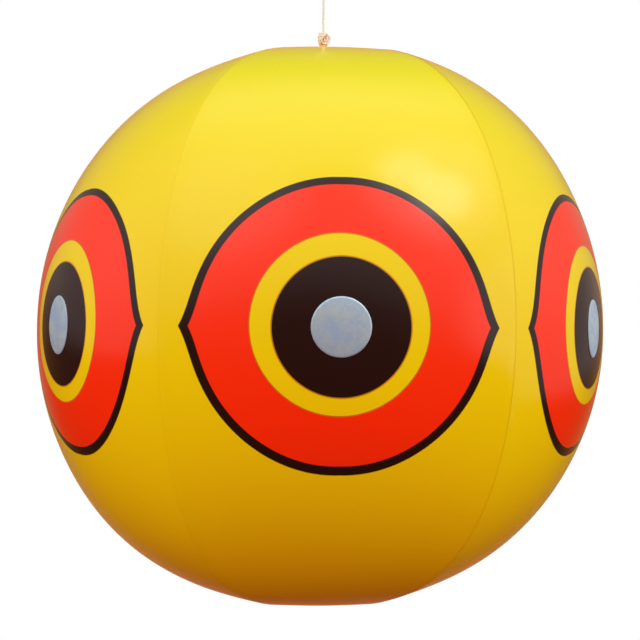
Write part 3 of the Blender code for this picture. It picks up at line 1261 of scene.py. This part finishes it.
@dataclass(frozen=True)
class PatchSizes:
    """The patch tree's inputs."""

    side: float = 1.0
    patch_radius: float = 0.0400
    hole_radius: float = 0.0
    patch_film: float = 0.0003
    weld_gap: float = 0.0003
    columns: int = 61
    rows: int = 181


@dataclass
class Ball:
    """The inflated skin: printed gores, foil pupils and the patches over the gore tips."""

    shape: SkinShape
    gore: GoreSizes = GoreSizes()
    sticker: StickerSizes = StickerSizes()
    patch: PatchSizes = PatchSizes()
    main_share: float = 0.88
    joggle_share: float = 0.06
    roll_share: float = 0.02
    folds: float = 75.0
    fold_stretch: float = 0.3
    upper_span: Pair = (0.0, 0.065)
    lower_span: Pair = (-0.01, 0.04)
    sticker_spans: tuple[Pair, ...] = ((0.0, 0.6), (0.6, 0.7), (0.7, 1.0))
    sticker_bulge: float = 0.4
    glue_share: float = 0.4
    patch_spans: tuple[Pair, ...] = ((0.0, 0.6), (0.6, 0.65), (0.65, 0.9), (0.9, 1.0))
    pressed_span: Pair = (0.86, 0.98)
    pressed_share: float = 0.8
    patch_hole: float = 0.0100
    pupil_fits: tuple[Triple, ...] = (
        (0.0, 1.0, 1.0),
        (-0.0022, 0.84, 1.12),
        (0.0004, 1.0, 1.03),
        (-0.0003, 1.0, 1.04),
        (0.0003, 1.0, 1.02),
        (0.0, 0.98, 1.10),
    )
    print_fits: tuple[Triple, ...] = (
        (0.0, 0.010, 0.0),
        (-0.0017, 0.047, -0.005),
        (0.0008, 0.020, 0.010),
        (-0.0004, 0.005, 0.015),
        (0.0006, 0.025, 0.0),
        (0.0004, 0.050, -0.014),
    )

    def gore_tree(self) -> SkinTree:
        """The tree of one gore, from its own seam to the lap under the next gore."""
        tree = SkinTree("gore_film", PrintedFilm().make("printed_film"), self.shape)
        graph, size, half = tree.graph, tree.sizes(self.gore), tree.half
        grid, across, up = tree.grid(size.columns, size.rows)
        angle = up * 2 * tree.angle_at_radius(tree.skin.tip_radius)
        radius, level = tree.meridian(angle)
        bend = self.main_share + self.joggle_share
        main = (across / self.main_share).clamped()
        step = ((across - self.main_share) / self.joggle_share).clamped()
        tail = across.share(bend, 1.0)
        joggle = size.joggle_width
        off = main * (2 * half - joggle / radius) + step * joggle / radius + tail * size.lap_width / radius
        off = off - half
        turn = size.middle_turn + off
        roll = (1 - across.rise(0.0, self.roll_share)) * size.edge_roll
        sink = step.rise(0.0, 1.0) * size.weld_depth + roll
        from_seam = (half - off.function("PINGPONG", half)) * radius
        close = (from_seam / -size.pucker_reach).function("EXPONENT")
        x, y, z = tree.place(radius, level, off, turn, -sink)
        stretched = graph.vector(x * self.fold_stretch, y * self.fold_stretch, z)
        folds = graph.noise(stretched, self.folds, 1.0, size.fold_seed) - 0.5
        near_pole = (abs(level) / tree.skin.pole_level) ** 2 * size.pole_pucker + size.seam_pucker
        lift = tree.uneven(radius, level, off, turn) + folds * close * near_pole * size.pucker * 2 - sink
        upper = size.upper_stretch * level.rise(*self.upper_span)
        stretch = 1 + upper + size.lower_stretch * (-level).rise(*self.lower_span)
        across_print = (off * tree.skin.ball_radius - size.print_shift) / stretch
        print_place = graph.vector(across_print, (level + size.print_drop) / stretch)
        weld_place = graph.vector((off + half) * radius, angle * tree.skin.ball_radius, 0.0)
        printed = tree.store(grid, PRINT_MAP, "FLOAT2", "CORNER", print_place)
        welded = tree.store(printed, WELD_MAP, "FLOAT_VECTOR", "POINT", weld_place)
        place = graph.vector(*tree.place(radius, level, off, turn, lift))
        tree.end(graph.node("GeometryNodeSetPosition", {"Geometry": welded, "Position": place}))
        return tree

    def pupil_tree(self) -> SkinTree:
        """The tree of one foil disc in the middle of a gore."""
        tree = SkinTree("foil_pupil", CloudyFoil().make("cloudy_foil"), self.shape)
        graph, size = tree.graph, tree.sizes(self.sticker)
        grid, along, up = tree.grid(size.columns, size.rows)
        outward, edge, inward = (along.share(*span) for span in self.sticker_spans)
        bulge = (edge * math.pi).function("SINE") * size.sticker_film * self.sticker_bulge
        film = size.sticker_film * self.sticker_bulge
        far = size.sticker_radius * (outward - inward) - film + bulge * (1 - inward)
        far = far.function("MAXIMUM", 0.0)
        crown = (1 - (far / size.sticker_radius) ** 2) * size.sticker_crown
        around = (up + 0.5) * math.tau
        aside = far * around.function("COSINE") * size.width_share + size.sticker_shift
        off = aside / tree.skin.ball_radius
        height = far * around.function("SINE") * size.height_share - size.print_drop
        radius, level = tree.meridian(tree.angle_at_level(height))
        turn = size.middle_turn + off
        lift = size.glue * self.glue_share + size.sticker_film * (1 - edge) + crown
        lift = lift + tree.uneven(radius, level, off, turn)
        place = graph.vector(*tree.place(radius, level, off, turn, lift))
        tree.end_sheet(grid, place)
        return tree

    def patch_tree(self) -> SkinTree:
        """The tree of a round patch over the gore tips, with its edge pressed down."""
        film = PrintedFilm(ink=Ink.PLAIN).make("patch_film")
        tree = SkinTree("tip_patch", film, self.shape)
        graph, size, tip = tree.graph, tree.sizes(self.patch), tree.skin.tip_radius
        grid, along, up = tree.grid(size.columns, size.rows)
        outward, down, inward, back = (along.share(*span) for span in self.patch_spans)
        far = size.hole_radius + (size.patch_radius - size.hole_radius) * (outward - inward) + TINY
        pressed = (far / size.patch_radius).rise(*self.pressed_span) * self.pressed_share
        lift = size.weld_gap + size.patch_film * (1 - (down - back)) * (1 - pressed)
        around = (up + 0.5) * math.tau
        off = (around + tree.half).function("FLOORED_MODULO", 2 * tree.half) - tree.half
        radius = far.function("MAXIMUM", tip)
        _, level = tree.meridian(tree.angle_at_radius(radius) * size.side)
        x, y, z = tree.place(radius, level, off, around, lift)
        corner = (x * x + y * y).function("SQRT") / radius
        spread = ((far - size.hole_radius) / (tip - size.hole_radius)).clamped()
        inwards = far / radius * (1 + (corner - 1) * spread) / corner
        place = graph.vector(x * inwards, y * inwards, z)
        tree.end_sheet(grid, place)
        return tree

    def build(self) -> list[Piece]:
        """Makes the gores, the pupils and the patches."""
        pieces = []
        gore, pupil, patch = self.gore_tree(), self.pupil_tree(), self.patch_tree()
        for index, (printed, stuck) in enumerate(zip(self.print_fits, self.pupil_fits)):
            number, turn = index + 1, index * math.tau / self.shape.gores
            fit = dict(zip(("print_shift", "upper_stretch", "lower_stretch"), printed))
            made = gore.bake(f"printed_gore_{number}", middle_turn=turn, **fit)
            pieces.append(dress(made, f"gore_{number}", "balloon"))
            fit = dict(zip(("sticker_shift", "width_share", "height_share"), stuck))
            made = pupil.bake(f"foil_pupil_{number}", middle_turn=turn, **fit)
            pieces.append(dress(made, f"pupil_sticker_{number}", "balloon"))
        for end, side, hole in (("top", 1.0, 0.0), ("bottom", -1.0, self.patch_hole)):
            made = patch.bake(f"{end}_tip_patch", side=side, hole_radius=hole)
            pieces.append(dress(made, f"{end}_patch", "balloon"))
        return pieces


# Tab


@dataclass
class HangTab:
    """The moulded tab on the top patch: a round pad that swells into an upright lug with a hole."""

    pad_radius: float = 0.0130
    pad_thickness: float = 0.0008
    pad_rounding: float = 0.0003
    lug_thickness: float = 0.0020
    lug_round: float = 0.0042
    lug_foot: float = 0.0060
    hole_radius: float = 0.0019
    hole_rise: float = 0.0040
    arc_steps: int = 32
    voxel: float = 0.00028
    softening: float = 0.5
    soft_rounds: int = 5

    def build(self) -> list[Piece]:
        """Makes the tab in one moulded piece."""
        finish = MouldedVinyl((0.80, 0.47, 0.06), (0.66, 0.36, 0.04)).make("amber_vinyl")
        low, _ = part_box("hang_tab")
        face = low.z + self.pad_thickness
        pad = rounded(rectangle((0.0, low.z), (self.pad_radius, face)), self.pad_rounding)
        body = add_object("moulded_hang_tab", mesh_of(turned(pad), "pad"), finish)
        middle, foot, steps = face + self.hole_rise, low.z + self.pad_rounding, self.arc_steps
        lug = [(-self.lug_foot, foot), (self.lug_foot, foot)]
        lug += arc(middle, self.lug_round, math.pi / steps, steps + 1)
        hole = arc(middle, self.hole_radius, math.tau / steps, steps)
        tools = []
        for outline, operation, width in ((lug, "UNION", 1), (hole, "DIFFERENCE", 3)):
            tool = add_object("tool", self.plate(outline, width * self.lug_thickness), finish)
            modifier = body.modifiers.new("cut", "BOOLEAN")
            modifier.operation, modifier.object, modifier.solver = operation, tool, "EXACT"
            tools.append(tool)
        remesh = body.modifiers.new("mould", "REMESH")
        remesh.mode, remesh.voxel_size, remesh.use_smooth_shade = "VOXEL", self.voxel, True
        soften = body.modifiers.new("soften", "SMOOTH")
        soften.factor, soften.iterations = self.softening, self.soft_rounds
        mesh = evaluated_mesh(body)
        body.modifiers.clear()
        body.data = mesh
        for tool in tools:
            bpy.data.objects.remove(tool)
        return [dress(body, "hang_tab", "balloon")]

    @staticmethod
    def plate(outline: Profile, width: float) -> bpy.types.Mesh:
        """A plate across X.

        Args:
            outline: in Y and Z.
            width: along X.

        Returns:
            Its mesh.
        """
        bm = bmesh.new()
        faces = [[bm.verts.new((x, y, z)) for y, z in outline] for x in (-width / 2, width / 2)]
        bridge(bm, *faces)
        for corners in faces:
            bm.faces.new(corners)
        return mesh_of(bm, "plate")


# Valve


@dataclass
class FillingValve:
    """The soft filling valve under the ball: flange, stem, plug on its strap, and check flap."""

    bore: float = 0.00375
    stem_radius: float = 0.0060
    rim_radius: float = 0.0075
    rim_thickness: float = 0.0012
    gap: float = 0.0003
    shank_taper: float = 0.0002
    head_radius: float = 0.0055
    head_thickness: float = 0.0015
    dish_depth: float = 0.0004
    dish_shares: Pair = (0.62, 0.74)
    strap_width: float = 0.0030
    strap_thickness: float = 0.0006
    strap_reach: float = 0.0050
    strap_inset: float = 0.0006
    strap_near: float = 0.001
    strap_sags: Pair = (0.00004, 0.00028)
    strap_bend: Pair = (0.0012, 0.0004)
    strap_step: float = 0.0004
    sheet_rounding: float = 0.0003
    flap_rounding: float = 0.00025
    thick_rounding: float = 0.0005
    strap_rounding: float = 0.0002
    sharp: float = 60.0

    def __post_init__(self) -> None:
        """Makes the finish."""
        self.soft = MouldedVinyl((0.78, 0.74, 0.64), (0.70, 0.65, 0.54)).make("milky_vinyl")

    def build(self) -> list[Piece]:
        """Makes the five pieces of the valve."""
        return [self.flange(), self.stem(), self.plug(), self.strap(), self.flap()]

    def add(self, node: str, body: str, corners: Profile, rounding: float) -> Piece:
        """A turned piece that stands for its node.

        Args:
            node: the node.
            body: the body that it rides on.
            corners: of its closed outline, as radius and height.
            rounding: of the corners.

        Returns:
            The piece.
        """
        name = f"soft_{node}"
        mesh = mesh_of(turned(rounded(corners, rounding)), name, self.sharp)
        return dress(add_object(name, mesh, self.soft), node, body)

    def flange(self) -> Piece:
        """The ring welded inside the bottom patch."""
        low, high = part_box("valve_flange")
        corners = rectangle((self.stem_radius + self.gap, low.z), (high.x, high.z))
        return self.add("valve_flange", "balloon", corners, self.sheet_rounding)

    def stem(self) -> Piece:
        """The tube that is pulled out for filling, with its thick rim."""
        low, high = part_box("valve_stem")
        shoulder = low.z + self.rim_thickness
        corners = [
            (self.bore, low.z),
            (self.rim_radius, low.z),
            (self.rim_radius, shoulder),
            (self.stem_radius, shoulder),
            (self.stem_radius, high.z),
            (self.bore, high.z),
        ]
        return self.add("valve_stem", "stem", corners, self.thick_rounding)

    def plug(self) -> Piece:
        """The plug, with a dished head and a rounded shank."""
        low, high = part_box("valve_plug")
        top, dish = low.z + self.head_thickness, low.z + self.dish_depth
        floor, wall = (self.head_radius * share for share in self.dish_shares)
        shank = self.bore - self.gap
        corners = [
            (0.0, dish),
            (floor, dish),
            (wall, low.z),
            (self.head_radius, low.z),
            (self.head_radius, top),
            (shank, top),
            (shank - self.shank_taper, high.z),
            (0.0, high.z),
        ]
        return self.add("valve_plug", "plug", corners, self.thick_rounding)

    def flap(self) -> Piece:
        """The check flap over the stem's inner end."""
        low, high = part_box("check_flap")
        return self.add("check_flap", "flap", rectangle((0.0, low.z), (high.x, high.z)), self.flap_rounding)

    def strap(self) -> Piece:
        """The thin strap from the rim round to the plug, which opens as the plug is pulled."""
        low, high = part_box("plug_strap")
        thick = self.strap_thickness
        start, end = high.z - thick, low.z + thick / 2
        near, far = self.rim_radius + self.strap_near, self.rim_radius + self.strap_reach
        slight, deep = self.strap_sags
        before, past = self.strap_bend
        points = [
            (self.rim_radius - self.strap_inset, 0.0, start),
            (near, 0.0, start - slight),
            (far - before, 0.0, start - deep),
            (far + past, 0.0, (start + end) / 2),
            (far - before, 0.0, end + deep),
            (near, 0.0, end + slight),
            (self.head_radius - self.strap_inset, 0.0, end),
        ]
        route = smooth_route(points, self.strap_step)
        corner = (self.strap_width / 2, thick / 2)
        outline = rounded(rectangle((-corner[0], -corner[1]), corner), self.strap_rounding)
        rings = [[route[0]]]
        for i, point in enumerate(route):
            run = (route[min(i + 1, len(route) - 1)] - route[max(i - 1, 0)]).normalized()
            side = Vector((-run.z, 0.0, run.x))
            rings.append([point + Vector((0.0, across, 0.0)) + side * up for across, up in outline])
        rings.append([route[-1]])
        made = add_object("soft_plug_strap", mesh_of(loft(rings), "strap"), self.soft)
        dress(made, "plug_strap", None)
        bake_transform(made)
        return made


# Studio


@dataclass(frozen=True)
class Glare:
    """A bright patch of the room, as a mirror sees it: bright up to one angle, and gone at another."""

    aim: Triple
    inner: float
    outer: float
    strength: float

    def seen(self, graph: Graph, direction: object) -> Number:
        """What it adds to the room.

        Args:
            graph: the tree to build in.
            direction: the one that the mirror looks in.

        Returns:
            Its radiance.
        """
        aim = tuple(Vector(self.aim).normalized())
        dot = graph.vector_math("DOT_PRODUCT", {0: direction, 1: aim}).outputs["Value"]
        low, high = math.cos(math.radians(self.outer)), math.cos(math.radians(self.inner))
        return Number(graph, dot).rise(low, high) * self.strength


@dataclass
class Studio:
    """The camera where the photograph was taken from, soft lamps, pale surroundings and a floor."""

    centre: float
    distance: float = 0.7843
    turn: float = math.radians(-3.204)
    roll: float = math.radians(0.42)
    lens: float = 59.58
    sensor: float = 36.0
    side: int = 640
    middle_pixel: Pair = (321.34, 325.90)
    floor_drop: float = 1.6
    floor_radius: float = 2.2
    floor_grey: Colour = (0.62, 0.62, 0.62)
    floor_gloss: float = 0.5
    floor_sides: int = 96
    floor_fade: Pair = (0.35, 0.98)
    floor_white: float = 0.65
    sky: float = 1.15
    sky_colour: Colour = (0.69, 1.0, 1.0)
    sky_levels: Pair = (-0.15, 0.20)
    side_gain: float = 0.75
    side_tilt: float = 0.22
    back_gain: float = 0.50
    back_span: Pair = (-0.2, 0.7)
    zenith_loss: float = 0.70
    zenith_span: Pair = (0.5, 1.0)
    bounce: float = 1.78
    bounce_colour: Colour = (1.0, 0.16, 0.10)
    bounce_rise: Pair = (-0.58, 0.10)
    bounce_fall: Pair = (0.10, 0.46)
    under: float = 0.14
    under_colour: Colour = (1.0, 0.55, 0.38)
    under_levels: Pair = (-0.85, -0.40)
    lamp_colour: Colour = (0.80, 1.0, 0.98)
    lamp_place: Triple = (1.15, -0.78, 1.10)
    lamp_size: Pair = (1.2, 1.0)
    lamp_power: float = 6.8
    room: float = 0.10
    room_rise: float = 0.58
    room_sides: float = 0.22
    room_behind: float = 0.20
    behind_span: Pair = (0.0, 0.6)
    room_low: float = 0.10
    low_span: Pair = (0.75, 0.98)
    horizon: Triple = (0.16, -0.09, -0.36)
    horizon_blur: Pair = (0.17, -0.14)
    glares: tuple[Glare, ...] = (
        Glare((0.0, -0.05, 1.0), 14.0, 42.0, 0.5),
        Glare((0.50, -0.50, 0.70), 4.0, 26.0, 1.0),
        Glare((0.36, -0.49, 0.79), 3.0, 10.0, 1.5),
        Glare((0.54, -0.53, 0.65), 3.0, 11.0, 2.4),
        Glare((-0.45, -0.60, 0.66), 8.0, 26.0, 0.5),
        Glare((0.90, -0.44, 0.02), 14.0, 26.0, 0.5),
    )

    def camera(self) -> None:
        """The camera, level with the ball."""
        data = bpy.data.cameras.new("camera")
        data.lens, data.sensor_width = self.lens, self.sensor
        made = put(bpy.data.objects.new("camera", data))
        pixels = self.lens / self.sensor * self.side
        right, down = ((pixel - self.side / 2) / pixels for pixel in self.middle_pixel)
        place = Vector((math.sin(self.turn), -math.cos(self.turn), 0.0)) * self.distance
        place.z = self.centre
        ahead = Matrix.Rotation(self.turn, 4, "Z") @ Matrix.Rotation(math.pi / 2, 4, "X")
        aim = Matrix.Rotation(right, 4, "Y") @ Matrix.Rotation(down, 4, "X")
        made.matrix_world = Matrix.Translation(place) @ ahead @ aim @ Matrix.Rotation(self.roll, 4, "Z")
        bpy.context.scene.camera = made

    def lamp(self, name: str, side: float) -> None:
        """A soft box that faces the ball.

        Args:
            name: the lamp's name.
            side: 1 to the right of the camera, and -1 to the left of it.
        """
        data = bpy.data.lights.new(name, "AREA")
        data.shape, data.size, data.size_y = "RECTANGLE", *self.lamp_size
        data.energy, data.color = self.lamp_power, self.lamp_colour
        made = put(bpy.data.objects.new(name, data))
        x, y, z = self.lamp_place
        here = Vector((x * side, y, z))
        made.location = here + Vector((0.0, 0.0, self.centre))
        made.rotation_euler = (-here).to_track_quat("-Z", "Y").to_euler()
        made.visible_camera = made.visible_glossy = False

    def mirrored_room(self, graph: Graph, direction: object) -> Number:
        """What mirrors see: a dim room with soft boxes, and a darker floor under a curved horizon.

        Args:
            graph: the tree to build in.
            direction: the one that the mirror looks in.

        Returns:
            The radiance.
        """
        x, y, z = graph.parts(direction)
        room = z.function("MAXIMUM", 0.0) * self.room_rise + x * x * self.room_sides + self.room
        for glare in self.glares:
            room = room + glare.seen(graph, direction)
        behind = y.rise(*self.behind_span)
        middle, tilt, bend = self.horizon
        blur = x * x * self.horizon_blur[1] + self.horizon_blur[0]
        horizon = (z - (x * x * bend + x * tilt + middle)).rise(-blur, blur)
        low = (1 - horizon) * y.rise(*self.low_span) * self.room_low
        return (room * (1 - behind) + behind * self.room_behind) * horizon + low

    def soft_light(self, graph: Graph, direction: object) -> list[tuple[Colour, Number]]:
        """What lights matt surfaces: sky, warm light from the sides and below, and a little from under.

        Args:
            graph: the tree to build in.
            direction: where the light comes from.

        Returns:
            Each light's colour and radiance.
        """
        x, y, z = graph.parts(direction)
        around = y.rise(*self.back_span) * self.back_gain + 1
        sky = z.share(*self.sky_levels) * (x * x * self.side_gain + x * self.side_tilt + around)
        sky = sky * (1 - z.rise(*self.zenith_span) * self.zenith_loss) * self.sky
        bounce = z.rise(*self.bounce_rise) * (1 - z.rise(*self.bounce_fall)) * around * self.bounce
        under = (1 - z.rise(*self.under_levels)) * self.under
        return [(self.sky_colour, sky), (self.bounce_colour, bounce), (self.under_colour, under)]

    def world(self) -> None:
        """White surroundings to the eye, a dim room in mirrors, and soft light on the rest."""
        made = bpy.data.worlds.new("studio")
        bpy.context.scene.world = made
        made.use_nodes = True
        graph = Graph(made.node_tree)
        path = graph.node("ShaderNodeLightPath")
        seen, mirrored = (Number(graph, path.outputs[name]) for name in ("Is Camera Ray", "Is Glossy Ray"))
        direction = graph.node("ShaderNodeTexCoord").outputs["Generated"]
        matt = (1 - seen) * (1 - mirrored)
        lights = [((1.0, 1.0, 1.0), seen + mirrored * self.mirrored_room(graph, direction))]
        lights += [(colour, matt * light) for colour, light in self.soft_light(graph, direction)]
        whole = None
        for colour, strength in lights:
            light = graph.node("ShaderNodeBackground", {"Color": colour, "Strength": strength})
            whole = graph.node("ShaderNodeAddShader", {0: whole, 1: light}) if whole else light
        graph.node("ShaderNodeOutputWorld", {"Surface": whole})

    def floor(self) -> None:
        """A plain pale floor well below the ball."""
        graph = FinishGraph("pale_floor")
        x, y, _ = graph.parts(graph.place())
        reach = (x * x + y * y).function("SQRT") / self.floor_radius
        seen = Number(graph, graph.node("ShaderNodeLightPath").outputs["Is Camera Ray"])
        matt = graph.node("ShaderNodeBsdfDiffuse", {"Color": self.floor_grey, "Roughness": self.floor_gloss})
        white = graph.node("ShaderNodeEmission", {"Color": (1.0, 1.0, 1.0), "Strength": 1.0})
        share = reach.rise(*self.floor_fade) * (1 - self.floor_white) + self.floor_white
        pale = graph.mixed(share, matt, white)
        finish = graph.finish(graph.mixed(seen, graph.node("ShaderNodeBsdfTransparent"), pale))
        bm = bmesh.new()
        bmesh.ops.create_circle(bm, cap_ends=True, segments=self.floor_sides, radius=self.floor_radius)
        bmesh.ops.translate(bm, verts=bm.verts, vec=(0.0, 0.0, self.centre - self.floor_drop))
        mesh = bpy.data.meshes.new("floor")
        bm.to_mesh(mesh)
        bm.free()
        add_object("floor", mesh, finish)

    def build(self) -> None:
        """Sets up the surroundings and the lamps."""
        bpy.context.scene.view_settings.view_transform = "Standard"
        self.world()
        self.floor()
        self.lamp("left key", -1.0)
        self.lamp("right key", 1.0)


def main() -> None:
    """Builds the object in order and reports each piece."""
    logging.basicConfig(level=logging.INFO, format="%(name)s: %(message)s")
    low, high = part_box("gore_1")
    centre = (low.z + high.z) / 2
    studio = Studio(centre)
    studio.camera()
    assemblies = (HangingLine(), Ball(SkinShape(centre)), HangTab(), FillingValve())
    for assembly in assemblies:
        for piece in assembly.build():
            log.info("%s has %d faces", piece.name, len(piece.data.polygons))
    studio.build()
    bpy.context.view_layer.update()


if __name__ == "__main__":
    main()
